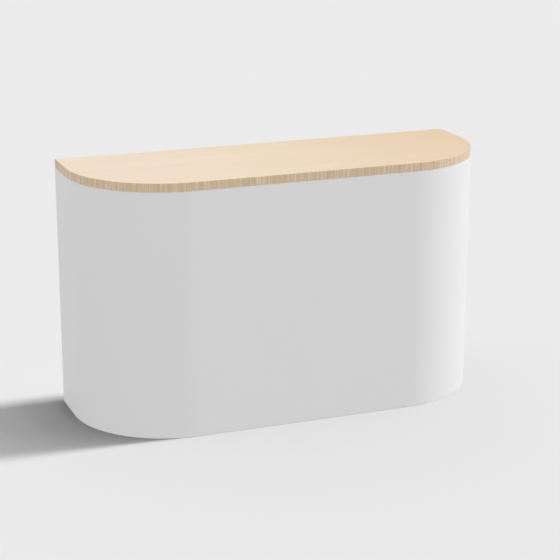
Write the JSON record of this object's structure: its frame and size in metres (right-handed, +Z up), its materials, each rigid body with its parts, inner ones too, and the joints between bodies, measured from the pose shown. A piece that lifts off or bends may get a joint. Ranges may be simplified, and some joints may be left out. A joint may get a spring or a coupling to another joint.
{
  "type": "checkout counter",
  "caption": "D-shaped checkout counter: bent white shell and maple top at the customer side, with drawers, open shelves and a locking cupboard at the staff side.",
  "frame": {"origin": "on the floor under the centre of the counter's box, with the feet at their resting height", "axes": "+X to the right as the customer sees it, -Y towards the customer, +Y towards the staff, +Z up"},
  "size_m": [1.5, 0.51, 0.9],
  "materials": {
    "maple_veneer": "satin lacquered light maple veneer",
    "maple_band": "satin wood edge band, end-grain tone",
    "white_laminate": "smooth matte white laminate",
    "melamine_board": "particle board with matte white melamine faces and edges",
    "birch": "clear lacquered birch plywood",
    "zinc_steel": "zinc plated, dull",
    "anodised_aluminium": "satin anodised",
    "nickel": "satin nickel",
    "black_plastic": "moulded black plastic, fine grain",
    "white_plastic": "moulded white plastic"
  },
  "bodies": {
    "carcass": {"countertop_panel": "maple_veneer", "countertop_edge_band": "maple_band", "countertop_rear_band": "maple_band", "shell_skin": "white_laminate", "front_panel": "melamine_board", "corner_panel_left": "melamine_board", "corner_panel_right": "melamine_board", "end_panel_left": "melamine_board", "end_panel_right": "melamine_board", "shell_end_strips": "white_laminate", "shell_splines": "birch", "sub_top": "melamine_board", "base_panel": "melamine_board", "divider_left": "melamine_board", "divider_right": "melamine_board", "toe_board": "melamine_board", "open_shelf_lower": "melamine_board", "open_shelf_upper": "melamine_board", "niche_shelf": "melamine_board", "niche_roof": "melamine_board", "cabinet_shelf": "melamine_board", "shelf_pins": "nickel", "shelf_dowels": "birch", "cabinet_runners": "zinc_steel", "pivot_plates": "nickel", "magnet_catch": "white_plastic", "leg_sockets": "black_plastic", "cable_grommets": "black_plastic", "worktop_screws": "zinc_steel", "cam_fittings": "nickel", "cam_bolts": "zinc_steel", "shell_screws": "zinc_steel"},
    "cash_drawer": {"cash_drawer_front": "melamine_board", "cash_drawer_sides": "birch", "cash_drawer_back": "birch", "cash_drawer_bottom": "birch", "cash_drawer_pull": "anodised_aluminium", "cash_drawer_inner_runners": "zinc_steel", "drawer_lock_case": "nickel"},
    "cash_runner_middles": {"cash_drawer_middle_runners": "zinc_steel"},
    "drawer_lock": {"drawer_lock_cylinder": "nickel"},
    "deep_drawer": {"deep_drawer_front": "melamine_board", "deep_drawer_sides": "birch", "deep_drawer_back": "birch", "deep_drawer_bottom": "birch", "deep_drawer_pull": "anodised_aluminium", "deep_drawer_inner_runners": "zinc_steel"},
    "deep_runner_middles": {"deep_drawer_middle_runners": "zinc_steel"},
    "door": {"door_panel": "melamine_board", "door_pull": "anodised_aluminium", "pivot_bushes": "black_plastic", "door_lock_case": "nickel", "strike_plate": "zinc_steel"},
    "door_lock": {"door_lock_cylinder": "nickel"},
    "foot_1": {"levelling_foot_1": "black_plastic"},
    "foot_2": {"levelling_foot_2": "black_plastic"},
    "foot_3": {"levelling_foot_3": "black_plastic"},
    "foot_4": {"levelling_foot_4": "black_plastic"},
    "foot_5": {"levelling_foot_5": "black_plastic"},
    "foot_6": {"levelling_foot_6": "black_plastic"}
  },
  "joints": [
    {"name": "cash_drawer_slide", "type": "slide", "parent": "carcass", "child": "cash_drawer", "axis": [0, 1, 0], "range_m": [0, 0.38]},
    {"name": "cash_runner_slide", "type": "slide", "parent": "carcass", "child": "cash_runner_middles", "axis": [0, 1, 0], "range_m": [0, 0.19]},
    {"name": "deep_drawer_slide", "type": "slide", "parent": "carcass", "child": "deep_drawer", "axis": [0, 1, 0], "range_m": [0, 0.38]},
    {"name": "deep_runner_slide", "type": "slide", "parent": "carcass", "child": "deep_runner_middles", "axis": [0, 1, 0], "range_m": [0, 0.19]},
    {"name": "drawer_lock_turn", "type": "hinge", "parent": "cash_drawer", "child": "drawer_lock", "pos_m": [0.14, 0.21, 0.819], "axis": [0, -1, 0], "range_deg": [0, 90]},
    {"name": "door_hinge", "type": "hinge", "parent": "carcass", "child": "door", "pos_m": [0.716, 0.226, 0.476], "axis": [0, 0, -1], "range_deg": [0, 95]},
    {"name": "door_lock_turn", "type": "hinge", "parent": "door", "child": "door_lock", "pos_m": [0.29, 0.21, 0.6], "axis": [0, 1, 0], "range_deg": [0, 90]},
    {"name": "foot_1_level", "type": "slide", "parent": "carcass", "child": "foot_1", "axis": [0, 0, -1], "range_m": [-0.003, 0.02]},
    {"name": "foot_2_level", "type": "slide", "parent": "carcass", "child": "foot_2", "axis": [0, 0, -1], "range_m": [-0.003, 0.02]},
    {"name": "foot_3_level", "type": "slide", "parent": "carcass", "child": "foot_3", "axis": [0, 0, -1], "range_m": [-0.003, 0.02]},
    {"name": "foot_4_level", "type": "slide", "parent": "carcass", "child": "foot_4", "axis": [0, 0, -1], "range_m": [-0.003, 0.02]},
    {"name": "foot_5_level", "type": "slide", "parent": "carcass", "child": "foot_5", "axis": [0, 0, -1], "range_m": [-0.003, 0.02]},
    {"name": "foot_6_level", "type": "slide", "parent": "carcass", "child": "foot_6", "axis": [0, 0, -1], "range_m": [-0.003, 0.02]}
  ],
  "couplings": [
    {"joint": "cash_runner_slide", "follows": "cash_drawer_slide", "ratio": 0.5},
    {"joint": "deep_runner_slide", "follows": "deep_drawer_slide", "ratio": 0.5}
  ]
}
